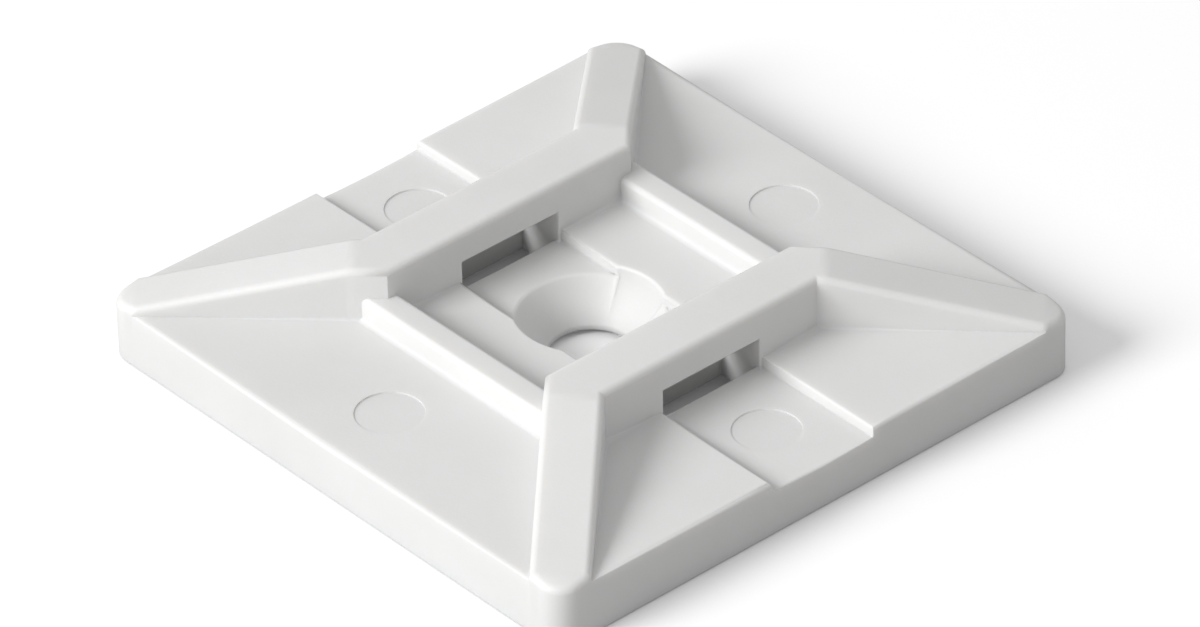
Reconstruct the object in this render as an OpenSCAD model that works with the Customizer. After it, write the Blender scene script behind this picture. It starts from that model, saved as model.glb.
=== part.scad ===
// Two-way cable tie mount: one moulded plate with two bars that a tie is threaded under.
// X is the direction in which the tie passes, Y runs along the bars, and Z is up.
// The origin is on the screw's axis, at the level of the surface that the mount is fixed to.

/* [Plate] */
// Side of the square plate
plate_side = 28; // [24:0.5:40]
// Height of the plate's panels above the mounting surface
plate_t = 2.6; // [2.2:0.05:4]
// Corner radius of the plate, seen from above
plate_corner_r = 1.1; // [0.6:0.1:2.5]
// Rounding of the plate's upper edge
plate_edge_r = 0.25; // [0.1:0.05:0.5]

/* [Tie channel] */
// Width of the channel that guides the tie across the plate
channel_w = 5.5; // [3.5:0.1:7.5]
// Depth of the channel below the panels
channel_depth = 0.5; // [0.2:0.05:0.8]
// Rounding of the channel's upper edges
channel_edge_r = 0.15; // [0.05:0.05:0.3]

/* [Bars] */
// Clear distance between the two bars
bar_gap = 9.7; // [8.5:0.1:14]
// Thickness of each bar
bar_t = 2.6; // [2:0.1:4]
// Height of the bars' tops above the mounting surface
bar_top = 5.05; // [4.6:0.05:8]
// Rounding of the top edges of bars and ribs
bar_edge_r = 0.3; // [0.1:0.05:0.6]
// Radius of the fillet at the foot of bars, ribs and ridges
foot_r = 0.3; // [0.1:0.05:0.5]

/* [Tie slots] */
// Width of the slot through each bar
slot_w = 5.2; // [3:0.1:7]
// Height of the slot above the channel's floor
slot_h = 1.45; // [1:0.05:2]
// Width of the core hole under each bar, across the bar
core_w = 2.1; // [1.4:0.1:3]

/* [Ridges] */
// Clear distance between the two ridges that join the bars
ridge_gap = 12; // [9:0.1:16]
// Thickness of each ridge
ridge_t = 1.35; // [0.8:0.05:2.5]
// Height of the ridges above the panels
ridge_h = 1.1; // [0.5:0.05:2]
// Rounding of the ridges' top edges
ridge_edge_r = 0.25; // [0.1:0.05:0.4]

/* [Corner ribs] */
// Width of each rib
rib_w = 2.45; // [1.5:0.05:3]
// Distance from the screw's axis at which a rib's top starts to fall
rib_break = 9.6; // [9:0.1:14]

/* [Screw hole] */
// Diameter of the screw's clearance hole
hole_d = 3.5; // [2.5:0.1:4.5]
// Diameter of the countersink at the channel's floor, and of the straight wall above it
sink_d = 6.2; // [5:0.1:8]
// Full angle of the countersink
sink_angle = 78; // [70:1:120]

/* [Underside] */
// Depth of the relief in the underside
relief_depth = 0.6; // [0.3:0.05:1]
// Width of the rim left around the relief
rim_w = 1.6; // [1:0.1:3]
// Wall of the screw boss around the clearance hole
boss_wall = 1.6; // [1:0.1:2.5]
// Distance that the screw boss stops short of the mounting surface
boss_gap = 0.2; // [0.05:0.05:0.25]

/* [Moulding marks] */
// Diameter of the ejector pins that leave a shallow round mark on each side of the centre
pin_d = 2.9; // [2:0.1:3.2]
// Distance of the ejector pins from the screw's axis
pin_offset = 10.7; // [10.4:0.1:11]
// Depth of the marks that the pins leave
pin_depth = 0.05; // [0.02:0.01:0.1]

/* [Hidden] */
$fn = 64;
// Overshoot of a cutting shape past the face that it opens, and a smaller one where room is short
past = 1;
past_fine = 0.1;
half = plate_side / 2;
floor_z = plate_t - channel_depth;
bar_in = bar_gap / 2;
bar_mid = bar_in + bar_t / 2;
bar_out = bar_in + bar_t;
ridge_in = ridge_gap / 2;
ridge_out = ridge_in + ridge_t;
ridge_top = plate_t + ridge_h;
// A rib's half width, measured along X or Y instead of across the rib
rib_offset = rib_w / sqrt(2);
// The bars run this far past the ribs' outer sides, so that no two roundings end in one point
bar_over = 0.06;
bar_half_len = bar_in + rib_offset + bar_over;
// Distances along a diagonal of the plate, from the screw's axis
rib_start = (2 * bar_in + rib_offset + bar_over) / sqrt(2);
rib_end = (half - plate_edge_r) * sqrt(2) - rib_w / 2;
rib_fall = atan((bar_top - plate_t) / (rib_end - rib_break));
hole_r = hole_d / 2;
sink_r = sink_d / 2;
sink_slope = tan(sink_angle / 2);
boss_r = hole_r + boss_wall;
relief_side = plate_side - 2 * rim_w;

// Section of a block that stands on z = 0 and has rounded upper corners
module round_top_section(width, height, r) {
    translate([-width / 2, 0]) square([width, height - r]);
    translate([-width / 2 + r, 0]) square([width - 2 * r, height]);
    for (side = [-1, 1]) translate([side * (width / 2 - r), height - r]) circle(r);
}

// A straight block of that section, along X from x0 to x1
module round_top_block(x0, x1, width, height, r) {
    translate([x0, 0, 0]) rotate([90, 0, 90]) linear_extrude(x1 - x0) round_top_section(width, height, r);
}

// A concave fillet along X from x0 to x1, in the corner of the planes y = 0 and z = 0
module foot_fillet(x0, x1) {
    translate([x0, 0, 0]) rotate([90, 0, 90]) linear_extrude(x1 - x0) difference() {
        square(foot_r);
        translate([foot_r, foot_r]) circle(foot_r);
    }
}

module plate_body() {
    run = plate_side - 2 * plate_corner_r;
    for (turn = [0, 90])
        rotate([0, 0, turn]) round_top_block(-run / 2, run / 2, plate_side, plate_t, plate_edge_r);
    for (x = [-1, 1], y = [-1, 1]) translate([x * run / 2, y * run / 2, 0]) rotate_extrude() {
        square([plate_corner_r, plate_t - plate_edge_r]);
        square([plate_corner_r - plate_edge_r, plate_t]);
        translate([plate_corner_r - plate_edge_r, plate_t - plate_edge_r]) circle(plate_edge_r);
    }
}

// The bar on the +X side, with a fillet at the foot of its outer and inner faces
module bar() {
    translate([bar_mid, 0, 0]) rotate([0, 0, 90])
        round_top_block(-bar_half_len, bar_half_len, bar_t, bar_top, bar_edge_r);
    translate([bar_out, 0, plate_t]) rotate([0, 0, -90])
        foot_fillet(-bar_out + rib_offset / 2, bar_out - rib_offset / 2);
    translate([bar_in, 0, plate_t]) rotate([0, 0, 90]) foot_fillet(-ridge_in, ridge_in);
}

// The ridge on the +Y side, which joins the ends of the two bars
module ridge() {
    translate([0, ridge_in + ridge_t / 2, 0])
        round_top_block(-bar_mid, bar_mid, ridge_t, ridge_top, ridge_edge_r);
    translate([0, ridge_out, plate_t]) foot_fillet(-bar_mid, bar_mid);
    translate([0, ridge_in, plate_t]) mirror([0, 1, 0]) foot_fillet(-bar_in, bar_in);
}

// The rib on the +X +Y diagonal: level from the bar's end, then falling towards the plate's corner
module rib() {
    rotate([0, 0, 45]) intersection() {
        round_top_block(rib_start, rib_end + past_fine, rib_w, bar_top, bar_edge_r);
        translate([rib_break, 0, bar_top]) rotate([0, rib_fall, 0]) translate([0, 0, -bar_top])
            round_top_block(-rib_break, rib_end, rib_w, bar_top, bar_edge_r);
    }
}

// A stretch of the tie's path along X from x0 to x1, down to the channel's floor
module channel(x0, x1) {
    translate([x0, 0, floor_z]) rotate([90, 0, 90]) linear_extrude(x1 - x0) {
        translate([-channel_w / 2, 0]) square([channel_w, bar_top]);
        for (side = [-1, 1]) translate([side * channel_w / 2, channel_depth - channel_edge_r])
            difference() {
                translate([-channel_edge_r, 0]) square([2 * channel_edge_r, bar_top]);
                translate([side * channel_edge_r, 0]) circle(channel_edge_r);
            }
    }
}

// The opening under the +X bar, and the core hole below it that the slot is moulded through
module slot() {
    translate([bar_in - past / 2, -slot_w / 2, floor_z]) cube([bar_t + past, slot_w, slot_h]);
    translate([bar_mid - core_w / 2, -channel_w / 2, -past]) cube([core_w, channel_w, floor_z + past]);
}

// Clearance hole, cone for the screw's head, and a straight wall above the channel's floor
module screw_hole() {
    sink_bottom = floor_z - (sink_r - hole_r) / sink_slope;
    rotate_extrude() polygon([
        [0, -past],
        [hole_r, -past],
        [hole_r, sink_bottom],
        [sink_r, floor_z],
        [sink_r, bar_top],
        [0, bar_top]
    ]);
}

// Marks of the ejector pins: two in the tie's path and two on the panels beside the ridges
module pin_marks() {
    for (turn = [0, 180]) rotate([0, 0, turn]) {
        translate([pin_offset, 0, floor_z - pin_depth]) cylinder(h = pin_depth + past, r = pin_d / 2);
        translate([0, pin_offset, plate_t - pin_depth]) cylinder(h = pin_depth + past, r = pin_d / 2);
    }
}

// Shallow relief in the underside, inside a rim and around the screw boss
module relief() {
    difference() {
        translate([-relief_side / 2, -relief_side / 2, -past]) cube([relief_side, relief_side, relief_depth + past]);
        translate([0, 0, boss_gap]) cylinder(h = relief_depth + past, r = boss_r);
    }
}

module mount() {
    color("white") difference() {
        union() {
            plate_body();
            for (side = [0, 180]) rotate([0, 0, side]) {
                bar();
                ridge();
            }
            for (turn = [0, 90, 180, 270]) rotate([0, 0, turn]) rib();
        }
        for (side = [0, 180]) rotate([0, 0, side]) {
            channel(bar_out, half + past);
            slot();
        }
        channel(-bar_in, bar_in);
        screw_hole();
        pin_marks();
        relief();
    }
}

mount();
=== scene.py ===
# %% [markdown]
# # A screw-on cable tie mount
# This lesson models a small square mount, moulded in one piece from natural white nylon. A screw
# holds it down through the middle, and a cable tie is threaded under its two raised bars. The
# part could be left as the engineering solid that it comes with. It is modelled again here,
# because a clean mesh with real roundings catches the light as a moulded part does.

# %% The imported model
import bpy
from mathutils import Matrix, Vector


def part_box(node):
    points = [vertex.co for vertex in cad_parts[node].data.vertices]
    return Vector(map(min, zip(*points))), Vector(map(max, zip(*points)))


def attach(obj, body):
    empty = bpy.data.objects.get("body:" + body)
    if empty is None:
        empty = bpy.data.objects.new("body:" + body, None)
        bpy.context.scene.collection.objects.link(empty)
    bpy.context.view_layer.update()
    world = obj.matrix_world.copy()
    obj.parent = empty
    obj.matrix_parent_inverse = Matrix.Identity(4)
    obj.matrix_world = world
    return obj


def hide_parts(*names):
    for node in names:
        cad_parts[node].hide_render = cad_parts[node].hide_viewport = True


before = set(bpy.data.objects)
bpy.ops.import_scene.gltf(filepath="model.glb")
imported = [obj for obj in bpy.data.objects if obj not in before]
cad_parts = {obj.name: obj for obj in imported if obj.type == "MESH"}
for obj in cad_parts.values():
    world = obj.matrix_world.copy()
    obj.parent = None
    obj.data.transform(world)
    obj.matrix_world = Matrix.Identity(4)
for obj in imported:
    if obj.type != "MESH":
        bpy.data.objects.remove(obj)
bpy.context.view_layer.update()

import math

import bmesh
import bpy
from mathutils import Matrix, Vector

# %% [markdown]
# ## The sizes
# A moulder's drawing gives this part by a few lines and levels: where each bar, ridge and rib
# starts and stops, and how high it stands. The plate's side and the height come from the packed
# solid. The rest are the drawing's own sizes in millimetres. The mesh is modelled in millimetres
# too, because the numbers stay readable, and it is turned into metres at the end.

# %% Lines and levels, in millimetres
MM = 0.001
low_corner, high_corner = (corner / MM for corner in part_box("mount"))
HALF = high_corner.x
BAR_TOP = high_corner.z - low_corner.z
BAR_IN, BAR_OUT = 4.85, 7.45
RIDGE_IN, RIDGE_OUT = 6.0, 7.35
CHANNEL_HALF, SLOT_HALF = 2.75, 2.6
CORE_IN, CORE_OUT = 5.1, 7.2
RIB_SIDE = 2.45 / math.sqrt(2)
RIB_BREAK, RIB_END_HEIGHT = 9.6, 0.12
RIM, CORNER_R, EDGE_R = 1.6, 1.1, 0.25
PANEL, FLOOR, RIDGE_TOP, SLOT_TOP = 2.6, 2.1, 3.7, 3.55
RELIEF, BOSS_FACE, CONE_FOOT = 0.6, 0.2, 0.433
SINK_R, HOLE_R, BOSS_R = 3.1, 1.75, 3.35
PIN_R, PIN_FROM_MIDDLE, PIN_DEPTH = 1.45, 10.7, 0.05
QUARTER_TURN = math.pi / 2
# Chords in a quarter of a circle, and in half of a pin's circle
CHORDS, PIN_CHORDS = 36, 32
# Two points closer than this are one point
NEAR = 0.0005
print(f"plate {2 * HALF:.2f} mm, height {BAR_TOP:.2f} mm")

# %% [markdown]
# ## Cutting a plan
# The mount is the same on both sides of two planes, so one quarter is enough. The quarter starts
# as a single square face. It could be drawn as a list of points, but cutting it along the
# drawing's lines is less work and leaves no gaps: each cut adds its own points to the faces on
# both sides. A circle is cut out one short chord at a time.

# %% Helpers that cut and lift faces
def faces_where(bm, test):
    """The faces whose middle passes the test."""
    return [face for face in bm.faces if test(face.calc_center_median())]


def cut(bm, faces, point, normal):
    """Cuts the given faces along a plane, and returns what they became."""
    parts = set(faces)
    for face in faces:
        parts.update(face.edges)
        parts.update(face.verts)
    made = bmesh.ops.bisect_plane(bm, geom=list(parts), dist=NEAR, plane_co=point, plane_no=normal)
    return [item for item in made["geom"] if isinstance(item, bmesh.types.BMFace)]


def cut_lines(bm, test, x=(), y=()):
    """Cuts the faces that pass the test along lines of one x or one y."""
    for line in x:
        cut(bm, faces_where(bm, test), (line, 0, 0), (1, 0, 0))
    for line in y:
        cut(bm, faces_where(bm, test), (0, line, 0), (0, 1, 0))


def cut_disc(bm, test, middle, radius, chords, first=0.0, sweep=QUARTER_TURN):
    """Cuts the part of a disc that lies in the faces that pass the test, chord by chord."""
    inside = faces_where(bm, test)
    step = sweep / chords
    for number in range(chords):
        turn = first + (number + 0.5) * step
        out = Vector((math.cos(turn), math.sin(turn), 0))
        point = Vector(middle) + out * radius * math.cos(step / 2)
        pieces = cut(bm, inside, point, out)
        inside = [face for face in pieces if (face.calc_center_median() - point).dot(out) < 0]
    return inside


def extrude(bm, faces, move=(0, 0, 0), spread=1.0):
    """Draws faces out by a move, and makes their new end larger or smaller around the Z axis."""
    made = bmesh.ops.extrude_face_region(bm, geom=faces)["geom"]
    bmesh.ops.delete(bm, geom=faces, context="FACES")
    verts = [item for item in made if isinstance(item, bmesh.types.BMVert)]
    bmesh.ops.translate(bm, verts=verts, vec=move)
    bmesh.ops.scale(bm, verts=verts, vec=(spread, spread, 1))
    return [item for item in made if isinstance(item, bmesh.types.BMFace)]


def square_face(bm, level):
    """The quarter of the plate as one face."""
    made = bmesh.ops.create_grid(bm, x_segments=1, y_segments=1, size=HALF / 2)
    bmesh.ops.translate(bm, verts=made["verts"], vec=(HALF / 2, HALF / 2, level))


def at_level(c, level):
    """Whether a point is at a height."""
    return abs(c.z - level) < NEAR


# %% [markdown]
# ## The top
# Seen from above, each small face of the plan belongs to one thing: a bar or rib, a ridge, the
# tie's channel, the countersink, an ejector pin's mark, or the plain panel. The tests below say
# which. Lifting and lowering whole groups of faces then gives every wall in one step, with the
# right sharing of edges where two of them meet.

# %% What each part of the plan is
def in_slot(c):
    return BAR_IN < c.x < BAR_OUT and c.y < SLOT_HALF


def in_bar_or_rib(c):
    if BAR_IN < c.x < BAR_OUT:
        return SLOT_HALF < c.y < c.x + RIB_SIDE
    return c.x > BAR_OUT and abs(c.x - c.y) < RIB_SIDE


def in_ridge(c):
    """A ridge runs between the bars, and past them up to the rib's side."""
    past_bar = BAR_IN < c.x < BAR_OUT and c.y > c.x + RIB_SIDE
    return RIDGE_IN < c.y < RIDGE_OUT and (c.x < BAR_IN or past_bar)


def in_sink(c):
    return math.hypot(c.x, c.y) < SINK_R


def in_channel(c):
    return c.y < CHANNEL_HALF and not BAR_IN < c.x < BAR_OUT


def from_pin(c):
    """How far a point is from the middle of the nearest ejector pin's mark."""
    x, y = abs(c.x), abs(c.y)
    return min(math.hypot(x - PIN_FROM_MIDDLE, y), math.hypot(x, y - PIN_FROM_MIDDLE))


def in_pin(c):
    return from_pin(c) < PIN_R


# %% The plan of the top, cut into its parts
quarter = bmesh.new()
square_face(quarter, PANEL)
cut_lines(quarter, lambda c: True, x=(BAR_IN, BAR_OUT), y=(CHANNEL_HALF, RIDGE_IN, RIDGE_OUT))
cut_lines(quarter, lambda c: BAR_IN < c.x < BAR_OUT, y=(SLOT_HALF,))
cut_lines(quarter, in_slot, x=(CORE_IN, CORE_OUT))
cut(quarter, faces_where(quarter, lambda c: c.x > BAR_OUT), (RIB_SIDE, 0, 0), (1, -1, 0))
past_bars = faces_where(quarter, lambda c: c.x > BAR_IN and c.y > RIDGE_IN)
cut(quarter, past_bars, (0, RIB_SIDE, 0), (1, -1, 0))
cut_disc(quarter, lambda c: c.x < BAR_IN and c.y < RIDGE_IN, (0, 0, PANEL), SINK_R, CHORDS)
cut_disc(quarter, lambda c: c.x > BAR_OUT and c.y < CHANNEL_HALF,
         (PIN_FROM_MIDDLE, 0, PANEL), PIN_R, PIN_CHORDS, 0, 2 * QUARTER_TURN)
cut_disc(quarter, lambda c: c.x < BAR_IN and c.y > RIDGE_OUT,
         (0, PIN_FROM_MIDDLE, PANEL), PIN_R, PIN_CHORDS, -QUARTER_TURN, 2 * QUARTER_TURN)
print("faces in the plan:", len(quarter.faces))

# %% Bars, ribs and ridges go up, the tie's path and the countersink go down
raised = faces_where(quarter, lambda c: in_bar_or_rib(c) or in_ridge(c))
raised = extrude(quarter, raised, (0, 0, RIDGE_TOP - PANEL))
highest = [face for face in raised if in_bar_or_rib(face.calc_center_median())]
extrude(quarter, highest, (0, 0, BAR_TOP - RIDGE_TOP))

on_plan = lambda c: at_level(c, PANEL)
lowered = faces_where(quarter, lambda c: on_plan(c) and (in_channel(c) or in_slot(c) or in_sink(c)))
lowered = extrude(quarter, lowered, (0, 0, FLOOR - PANEL))
channel_end = faces_where(quarter, lambda c: abs(c.x - HALF) < NEAR and c.z < PANEL)
bmesh.ops.delete(quarter, geom=channel_end, context="FACES")
sink = [face for face in lowered if in_sink(face.calc_center_median())]
sink = extrude(quarter, sink, (0, 0, CONE_FOOT - FLOOR), HOLE_R / SINK_R)
sink = extrude(quarter, sink, (0, 0, BOSS_FACE - CONE_FOOT))
bmesh.ops.delete(quarter, geom=sink, context="FACES")
pins = faces_where(quarter, lambda c: in_pin(c) and (on_plan(c) or at_level(c, FLOOR)))
extrude(quarter, pins, (0, 0, -PIN_DEPTH))
print("faces of the raised and sunk top:", len(quarter.faces))

# %% The core hole under the bar, and the part of the bar that bridges the tie's slot
core = faces_where(quarter, lambda c: at_level(c, FLOOR) and CORE_IN < c.x < CORE_OUT and in_slot(c))
core = extrude(quarter, core, (0, 0, RELIEF - FLOOR))
bmesh.ops.delete(quarter, geom=core, context="FACES")


def slot_wall(c):
    return abs(c.y - SLOT_HALF) < NEAR and BAR_IN < c.x < BAR_OUT and c.z > PANEL


cut(quarter, faces_where(quarter, slot_wall), (0, 0, SLOT_TOP), (0, 0, 1))
bridge = faces_where(quarter, lambda c: slot_wall(c) and c.z > SLOT_TOP)
extrude(quarter, bridge, (0, -SLOT_HALF, 0))
print("faces with the bar's bridge:", len(quarter.faces))

# %% [markdown]
# ## The plate's sides and underside
# The sides are the outer edges of the top drawn down. They go in two steps, because the channel
# leaves the plate lower than the panels do, and both have to meet at a shared point. Under the
# plate is a shallow relief inside a rim, as on most moulded bases: it saves material and lets
# the part sit flat. A round boss stands around the screw hole.

# %% The sides
def outer_edges(bm, level):
    """The open level edges along the plate's two outer sides, at one height."""
    found = []
    for edge in bm.edges:
        ends = [v.co for v in edge.verts]
        outside = [all(abs(end[axis] - HALF) < NEAR for end in ends) for axis in (0, 1)]
        if edge.is_boundary and any(outside) and all(at_level(end, level) for end in ends):
            found.append(edge)
    return found


for start, stop in ((PANEL, FLOOR), (FLOOR, RELIEF)):
    made = bmesh.ops.extrude_edge_only(quarter, edges=outer_edges(quarter, start))["geom"]
    for vert in made:
        if isinstance(vert, bmesh.types.BMVert):
            vert.co.z = stop
    bmesh.ops.remove_doubles(quarter, verts=quarter.verts, dist=NEAR)

# %% The underside
under = bmesh.new()
square_face(under, RELIEF)
inner = HALF - RIM
cut_lines(under, lambda c: True, x=(inner,), y=(inner,))
cut_lines(under, lambda c: c.x < inner and c.y < inner, x=(CORE_IN, CORE_OUT))
cut_lines(under, lambda c: CORE_IN < c.x < CORE_OUT, y=(SLOT_HALF,))
cut_disc(under, lambda c: c.x < CORE_IN and c.y < inner, (0, 0, RELIEF), BOSS_R, CHORDS)
cut_disc(under, lambda c: math.hypot(c.x, c.y) < BOSS_R, (0, 0, RELIEF), HOLE_R, CHORDS)
opening = faces_where(under, lambda c: CORE_IN < c.x < CORE_OUT and c.y < SLOT_HALF)
bmesh.ops.delete(under, geom=opening, context="FACES")
extrude(under, faces_where(under, lambda c: max(c.x, c.y) > inner), (0, 0, -RELIEF))
boss = faces_where(under, lambda c: at_level(c, RELIEF) and math.hypot(c.x, c.y) < BOSS_R)
boss = extrude(under, boss, (0, 0, BOSS_FACE - RELIEF))
hole = [face for face in boss if face.calc_center_median().length < HOLE_R]
bmesh.ops.delete(under, geom=hole, context="FACES")
print("faces of the underside:", len(under.faces))

# %% [markdown]
# ## One closed quarter, then the whole
# Cutting has left many points and edges that lie in flat ground. They are dissolved first, so
# that the rim of the top and the rim of the underside have the same points and can be joined.
# The quarter is then mirrored twice and joined along its two planes.

# %% Cleaning a quarter
def clean(bm):
    """Dissolves the edges between faces of one plane, and the points on straight edges."""
    on_planes = []
    for face in bm.faces:
        for axis in (0, 1):
            if all(abs(v.co[axis]) < NEAR for v in face.verts):
                on_planes.append(face)
    bmesh.ops.delete(bm, geom=list(set(on_planes)), context="FACES")
    bmesh.ops.remove_doubles(bm, verts=bm.verts, dist=NEAR)
    bmesh.ops.recalc_face_normals(bm, faces=bm.faces)
    bmesh.ops.dissolve_limit(bm, angle_limit=math.radians(0.5), verts=bm.verts, edges=bm.edges)
    straight = []
    for vert in bm.verts:
        if len(vert.link_edges) == 2:
            one, two = (edge.other_vert(vert).co - vert.co for edge in vert.link_edges)
            if one.angle(two) > math.radians(179.5):
                straight.append(vert)
    bmesh.ops.dissolve_verts(bm, verts=straight)


clean(quarter)
clean(under)
under_mesh = bpy.data.meshes.new("under")
under.to_mesh(under_mesh)
under.free()
quarter.from_mesh(under_mesh)
bpy.data.meshes.remove(under_mesh)
bmesh.ops.remove_doubles(quarter, verts=quarter.verts, dist=NEAR * 2)
clean(quarter)
open_edges = [e for e in quarter.edges if e.is_boundary]
stray = [e for e in open_edges if not any(all(abs(v.co[a]) < NEAR for v in e.verts) for a in (0, 1))]
print("open edges:", len(open_edges), "away from the two planes:", len(stray))

# %% The whole mount, still with sharp edges
for axis in ("X", "Y"):
    whole = list(quarter.verts) + list(quarter.edges) + list(quarter.faces)
    bmesh.ops.mirror(quarter, geom=whole, matrix=Matrix.Identity(4), axis=axis,
                     merge_dist=NEAR * 2)
bmesh.ops.remove_doubles(quarter, verts=quarter.verts, dist=NEAR * 2)
bmesh.ops.recalc_face_normals(quarter, faces=quarter.faces)
corner_edges = [e for e in quarter.edges
                if all(abs(abs(v.co.x) - HALF) < NEAR and abs(abs(v.co.y) - HALF) < NEAR
                       for v in e.verts)]
bmesh.ops.bevel(quarter, geom=corner_edges, offset=CORNER_R, offset_type="OFFSET", segments=10,
                profile=0.5, affect="EDGES", clamp_overlap=False, material=-1)
bmesh.ops.remove_doubles(quarter, verts=quarter.verts, dist=NEAR)
print("faces:", len(quarter.faces), "open edges:", sum(not e.is_manifold for e in quarter.edges),
      "volume in mm3:", round(quarter.calc_volume(), 1))


# %% [markdown]
# ## Roundings
# A mould is cut with round-nosed tools, and its edges are broken, so every edge of the part has
# a small radius. The largest are along the bars and at their feet. One Bevel modifier makes them
# all in one go: each edge's weight says what share of the full radius it gets. It is applied
# here, because the ribs' tops are made to fall only after they are rounded.

# %% A radius for each kind of edge, in millimetres
WIDEST, ROUNDING_STEPS = 0.3, 5
RIDGE_EDGE_R, SLOT_EDGE_R, SLOT_SIDE_R = 0.25, 0.15, 0.06
RIB_FOOT_R, CHANNEL_EDGE_R, SINK_EDGE_R = 0.12, 0.15, 0.12
FLOOR_EDGE_R, BASE_EDGE_R, HOLE_EDGE_R = 0.1, 0.1, 0.08
# Faces that meet at less than this angle count as one surface
LEAST_FOLD = math.radians(20)


def edge_radius(edge):
    """The rounding of an edge in millimetres, from its level and from which way it folds."""
    fold = edge.calc_face_angle_signed(0)
    one, two = (v.co for v in edge.verts)
    middle = (one + two) / 2
    x, y = abs(middle.x), abs(middle.y)
    on_pin_rim = from_pin(middle) < PIN_R + NEAR
    if abs(fold) < LEAST_FOLD:
        return 0
    if abs(one.z - two.z) > NEAR:
        at_slot = abs(y - SLOT_HALF) < NEAR and FLOOR < middle.z < SLOT_TOP
        return SLOT_SIDE_R if at_slot and fold > 0 else 0
    if at_level(middle, BAR_TOP):
        return WIDEST
    if at_level(middle, RIDGE_TOP):
        return RIDGE_EDGE_R if fold > 0 else 0
    if at_level(middle, SLOT_TOP):
        return SLOT_EDGE_R if fold > 0 else 0
    if at_level(middle, PANEL):
        beside_bar = min(abs(x - BAR_IN), abs(x - BAR_OUT)) < NEAR
        beside_ridge = min(abs(y - RIDGE_IN), abs(y - RIDGE_OUT)) < NEAR
        if fold < 0:
            return WIDEST if beside_bar or beside_ridge else RIB_FOOT_R
        if max(x, y) > HALF - CORNER_R:
            return EDGE_R if abs(y - CHANNEL_HALF) > NEAR else CHANNEL_EDGE_R
        return 0 if on_pin_rim else CHANNEL_EDGE_R
    if at_level(middle, FLOOR):
        if math.hypot(x, y) < SINK_R + NEAR:
            return SINK_EDGE_R if fold > 0 else 0
        return 0 if on_pin_rim else FLOOR_EDGE_R
    if at_level(middle, 0):
        return BASE_EDGE_R
    return HOLE_EDGE_R if at_level(middle, CONE_FOOT) or at_level(middle, BOSS_FACE) else 0


weights = quarter.edges.layers.float.new("bevel_weight_edge")
for edge in quarter.edges:
    edge[weights] = edge_radius(edge) / WIDEST
print("rounded edges:", sum(edge[weights] > 0 for edge in quarter.edges))

# %% The roundings themselves
sharp_mesh = bpy.data.meshes.new("sharp")
quarter.to_mesh(sharp_mesh)
quarter.free()
sharp = bpy.data.objects.new("sharp", sharp_mesh)
bpy.context.scene.collection.objects.link(sharp)
rounding = sharp.modifiers.new("rounding", "BEVEL")
rounding.limit_method = "WEIGHT"
rounding.offset_type = "OFFSET"
rounding.width = WIDEST
rounding.segments = ROUNDING_STEPS
rounding.profile = 0.5
rounding.use_clamp_overlap = False
bpy.context.view_layer.update()
rounded = bmesh.new()
rounded.from_object(sharp, bpy.context.evaluated_depsgraph_get())
bpy.data.objects.remove(sharp)
bpy.data.meshes.remove(sharp_mesh)
print("faces after rounding:", len(rounded.faces),
      "open edges:", sum(not e.is_manifold for e in rounded.edges))

# %% [markdown]
# ## Falling ribs
# Each rib is level near the bars and then falls to the plate's corner, so that nothing can catch
# there. A rib could be built as a wedge, but its rounded edges would then run into the plate at
# the thin end. Here the finished rib is pressed down instead: the further out a point is, the
# more of its height is taken away. Cuts across the rib give the bend its own points.

# %% How high a rib and the plate stand at each place
SOFT_BEND = 0.25
# Where the cuts cross a rib, counted outwards from its bend
RIB_CUTS = (-0.25, -0.12, 0, 0.12, 0.25, 1.5, 3, 4.5, 6, 7, 7.6, 8.1, 8.5, 8.8, 9.1, 9.3, 9.5)
CORNER_OUT = (HALF - CORNER_R) * math.sqrt(2) + CORNER_R


def rib_height(out):
    """The height of a rib's top above the panel, by the distance from the plate's middle."""
    full = BAR_TOP - PANEL
    slope = (full - RIB_END_HEIGHT) / (CORNER_OUT - RIB_BREAK)
    past = out - RIB_BREAK
    if past <= -SOFT_BEND:
        return full
    if past < SOFT_BEND:
        return full - slope * (past + SOFT_BEND) ** 2 / (4 * SOFT_BEND)
    return full - slope * past


def plate_height(x, y):
    """The height of the plate's top, which is rounded off along its outline."""
    beyond = [max(abs(c) - (HALF - CORNER_R), 0) for c in (x, y)]
    into_edge = max(EDGE_R - (CORNER_R - math.hypot(*beyond)), 0)
    return PANEL - EDGE_R + math.sqrt(max(EDGE_R ** 2 - into_edge ** 2, 0))


# %% Pressing the ribs down
for side in ((1, 1), (-1, 1), (-1, -1), (1, -1)):
    across = Vector((side[0], side[1], 0)).normalized()
    for past in RIB_CUTS:
        tall = [face for face in rounded.faces
                if max(v.co.z for v in face.verts) > PANEL + NEAR
                and max(v.co.dot(across) for v in face.verts) > RIB_BREAK - SOFT_BEND]
        cut(rounded, tall, across * (RIB_BREAK + past), across)
for vert in rounded.verts:
    height = rib_height((abs(vert.co.x) + abs(vert.co.y)) / math.sqrt(2))
    if vert.co.z > BAR_TOP - WIDEST - NEAR:
        pressed = vert.co.z - (BAR_TOP - PANEL - height)
        vert.co.z = max(pressed, plate_height(vert.co.x, vert.co.y))
    elif vert.co.z > PANEL + NEAR:
        share = max(height - WIDEST, 0) / (BAR_TOP - PANEL - WIDEST)
        vert.co.z = PANEL + (vert.co.z - PANEL) * share
print("faces with the falling ribs:", len(rounded.faces))

# %% [markdown]
# ## Ejector pins
# Four pins push the part out of its mould, and each leaves a round mark a few hundredths of a
# millimetre deep. A pin never stands quite square, so one side of its mark is deeper than the
# other and its rim catches the light unevenly. The floor of each mark is tilted a little here.

# %% Tilting the pins' marks
PIN_LEAN = Vector((0.6, -0.8))
# The tilt lifts or sinks the rim by this share of the mark's depth
PIN_TILT = 0.7

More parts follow.
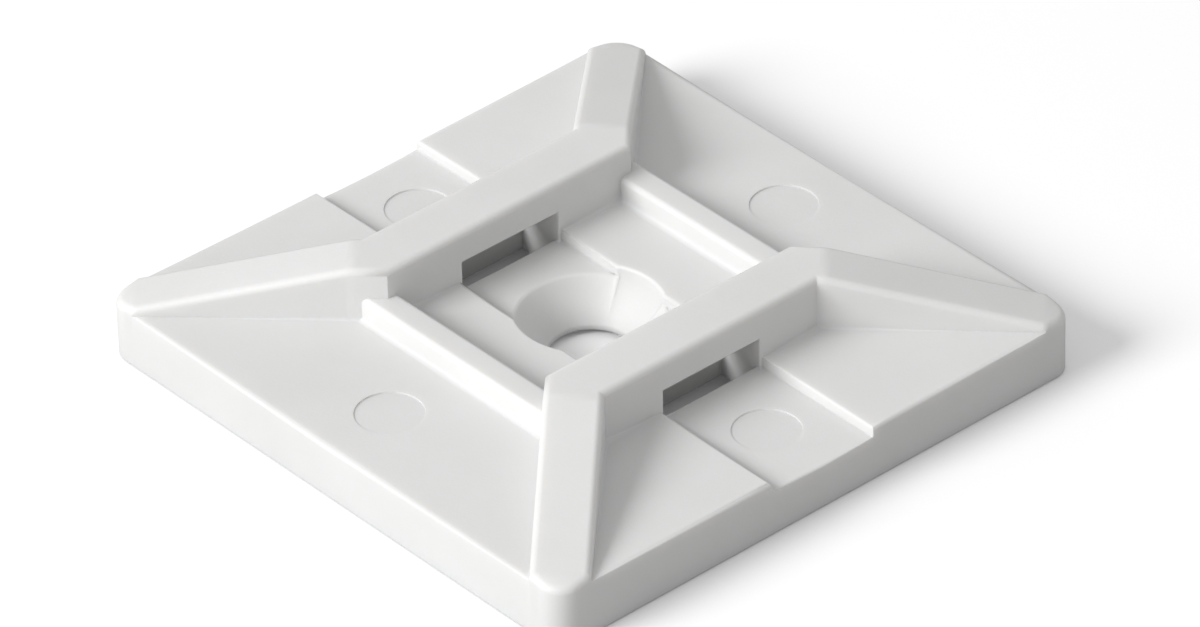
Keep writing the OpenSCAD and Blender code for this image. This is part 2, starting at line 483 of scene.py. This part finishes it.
for vert in rounded.verts:
    sunk = any(at_level(vert.co, level - PIN_DEPTH) for level in (PANEL, FLOOR))
    for turn in range(4):
        turned = turn * QUARTER_TURN
        middle = Vector((math.cos(turned), math.sin(turned))) * PIN_FROM_MIDDLE
        away = vert.co.xy - middle
        if sunk and away.length < PIN_R + NEAR:
            vert.co.z += PIN_DEPTH * PIN_TILT * away.dot(PIN_LEAN) / PIN_R

# %% [markdown]
# ## The finished piece
# The mesh is turned into metres, with its place in its points and its object at the origin. It
# is shaded smooth, apart from edges that were left sharp. Smooth shading alone would tint the
# flat faces near each rounding, so weighted normals let the large faces decide.

# %% The finished mesh, in metres
bmesh.ops.remove_doubles(rounded, verts=rounded.verts, dist=NEAR)
bmesh.ops.dissolve_degenerate(rounded, edges=rounded.edges, dist=NEAR)
bmesh.ops.recalc_face_normals(rounded, faces=rounded.faces)
print("open edges:", sum(not e.is_manifold for e in rounded.edges),
      "volume in mm3:", round(rounded.calc_volume(), 1))
bmesh.ops.scale(rounded, verts=rounded.verts, vec=(MM, MM, MM))
mount_mesh = bpy.data.meshes.new("tie_mount")
rounded.to_mesh(mount_mesh)
rounded.free()
mount_mesh.shade_smooth()
SHARP_FROM = math.radians(40)
mount_mesh.set_sharp_from_angle(angle=SHARP_FROM)
tie_mount = bpy.data.objects.new("tie_mount", mount_mesh)
bpy.context.scene.collection.objects.link(tie_mount)
even = tie_mount.modifiers.new("even shading", "WEIGHTED_NORMAL")
even.keep_sharp = True
even.weight = 50
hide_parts("mount")
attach(tie_mount, "root")
print("faces of the finished mount:", len(mount_mesh.polygons))

# %% [markdown]
# ## Natural nylon
# Undyed nylon is a slightly warm white with a satin skin. Light goes a little way into it, which
# keeps shaded edges soft. The mould leaves a fine grain on the skin, and where the melt cooled
# unevenly the gloss changes a little. A flat colour would look like paper, so the grain is a
# small bump and both the colour and the roughness drift over the surface.

# %% The nylon's material
nylon = bpy.data.materials.new("natural_nylon")
nylon.use_nodes = True
nodes, links = nylon.node_tree.nodes, nylon.node_tree.links
shader = nodes["Principled BSDF"]
shader.inputs["Specular IOR Level"].default_value = 0.4
shader.inputs["IOR"].default_value = 1.53
shader.inputs["Subsurface Weight"].default_value = 0.35
shader.inputs["Subsurface Radius"].default_value = (1.0, 0.9, 0.75)
shader.inputs["Subsurface Scale"].default_value = 0.001
place = nodes.new("ShaderNodeTexCoord")


def noise(scale, detail, roughness=0.5):
    """A noise over the object, whose scale counts its features per metre."""
    node = nodes.new("ShaderNodeTexNoise")
    node.inputs["Scale"].default_value = scale
    node.inputs["Detail"].default_value = detail
    node.inputs["Roughness"].default_value = roughness
    links.new(place.outputs["Object"], node.inputs["Vector"])
    return node.outputs["Fac"]


def remap(value, low, high, to_low, to_high):
    """The same pattern with its values moved from one span to another."""
    node = nodes.new("ShaderNodeMapRange")
    for name, number in (("From Min", low), ("From Max", high),
                         ("To Min", to_low), ("To Max", to_high)):
        node.inputs[name].default_value = number
    links.new(value, node.inputs["Value"])
    return node.outputs["Result"]


# %% Colour, gloss and grain
tint = nodes.new("ShaderNodeMix")
tint.data_type = "RGBA"
tint.inputs["A"].default_value = (0.640, 0.640, 0.632, 1)
tint.inputs["B"].default_value = (0.672, 0.672, 0.668, 1)
links.new(remap(noise(160, 3), 0.3, 0.7, 0, 1), tint.inputs["Factor"])
links.new(tint.outputs["Result"], shader.inputs["Base Color"])
links.new(remap(noise(420, 4), 0.3, 0.7, 0.42, 0.56), shader.inputs["Roughness"])
grain = nodes.new("ShaderNodeBump")
grain.inputs["Strength"].default_value = 0.25
grain.inputs["Distance"].default_value = 0.00002
links.new(noise(6500, 2), grain.inputs["Height"])
links.new(grain.outputs["Normal"], shader.inputs["Normal"])
mount_mesh.materials.append(nylon)
print("nodes in the nylon:", len(nodes))

# %% [markdown]
# ## Floor, light and camera
# The part lies on a pale floor. A large soft light stands to the left and is not very high, so
# that the faces turned to it are the brightest and the bars throw soft short shadows. The sky is
# an even pale grey that fills the rest. The camera is far away with a long lens, because a part
# this small is photographed that way, and it looks down at about 35 degrees.
#
# White paper throws so much light up that the plate's sides would lose their shade. A studio
# would use a darker table and a bright backdrop. One floor does both here: the camera sees white
# paper, and other rays meet a greyer one. It is clear from below.

# %% The floor
floor_shape = bmesh.new()
FLOOR_REACH, FLOOR_GAP = 8, 0.02 * MM
bmesh.ops.create_grid(floor_shape, x_segments=1, y_segments=1, size=FLOOR_REACH)
bmesh.ops.translate(floor_shape, verts=floor_shape.verts, vec=(0, 0, -FLOOR_GAP))
floor_mesh = bpy.data.meshes.new("floor")
floor_shape.to_mesh(floor_mesh)
floor_shape.free()
floor = bpy.data.objects.new("floor", floor_mesh)
bpy.context.scene.collection.objects.link(floor)

# %% The floor's paper
paper = bpy.data.materials.new("paper")
paper.use_nodes = True
paper_nodes, paper_links = paper.node_tree.nodes, paper.node_tree.links
seen = paper_nodes["Principled BSDF"]
seen.inputs["Base Color"].default_value = (0.9, 0.9, 0.9, 1)
seen.inputs["Roughness"].default_value = 0.9
seen.inputs["Emission Color"].default_value = (1, 1, 1, 1)
seen.inputs["Emission Strength"].default_value = 0.06
unseen = paper_nodes.new("ShaderNodeBsdfDiffuse")
unseen.inputs["Color"].default_value = (0.5, 0.5, 0.5, 1)
ray = paper_nodes.new("ShaderNodeLightPath")
choice = paper_nodes.new("ShaderNodeMixShader")
paper_links.new(ray.outputs["Is Camera Ray"], choice.inputs["Fac"])
paper_links.new(unseen.outputs["BSDF"], choice.inputs[1])
paper_links.new(seen.outputs["BSDF"], choice.inputs[2])
side_seen = paper_nodes.new("ShaderNodeNewGeometry")
clear = paper_nodes.new("ShaderNodeBsdfTransparent")
one_sided = paper_nodes.new("ShaderNodeMixShader")
paper_links.new(side_seen.outputs["Backfacing"], one_sided.inputs["Fac"])
paper_links.new(choice.outputs["Shader"], one_sided.inputs[1])
paper_links.new(clear.outputs["BSDF"], one_sided.inputs[2])
paper_links.new(one_sided.outputs["Shader"], paper_nodes["Material Output"].inputs["Surface"])
floor_mesh.materials.append(paper)
print("floor reaches", FLOOR_REACH, "m each way")

# %% The light
world = bpy.data.worlds.new("sky")
world.use_nodes = True
world.node_tree.nodes["Background"].inputs["Color"].default_value = (1, 1, 1, 1)
world.node_tree.nodes["Background"].inputs["Strength"].default_value = 0.6
bpy.context.scene.world = world
KEY_FROM = Vector((-0.2, -0.84, 0.52)).normalized()
KEY_AWAY, KEY_LIT = 0.7, 1.0
key_data = bpy.data.lights.new("key", "AREA")
key_data.shape = "DISK"
key_data.size = 0.35
# A light of this power makes a white face that is turned to it as bright as KEY_LIT
key_data.energy = math.pi ** 2 * KEY_AWAY ** 2 * KEY_LIT
key = bpy.data.objects.new("key", key_data)
key.location = KEY_FROM * KEY_AWAY
key.rotation_euler = KEY_FROM.to_track_quat("Z", "Y").to_euler()
bpy.context.scene.collection.objects.link(key)
print(f"key light of {key_data.energy:.2f} W")

# %% The camera
camera_data = bpy.data.cameras.new("camera")
camera_data.lens = 293.2
camera_data.sensor_width = 36
camera_data.sensor_fit = "HORIZONTAL"
camera_data.clip_start = 0.01
camera = bpy.data.objects.new("camera", camera_data)
right = Vector((0.66249885, 0.74875188, -0.02158456))
up = Vector((-0.42090244, 0.3959432, 0.81613119))
back = Vector((0.61962602, -0.53160098, 0.57746341))
facing = Matrix((right, up, back)).transposed().to_4x4()
stand = Vector((0.24663444, -0.21104243, 0.23186174))
camera.matrix_world = Matrix.Translation(stand) @ facing
print(f"camera {stand.length * 1000:.0f} mm from the part's foot")
bpy.context.scene.collection.objects.link(camera)
bpy.context.scene.camera = camera
bpy.context.scene.view_settings.view_transform = "Standard"
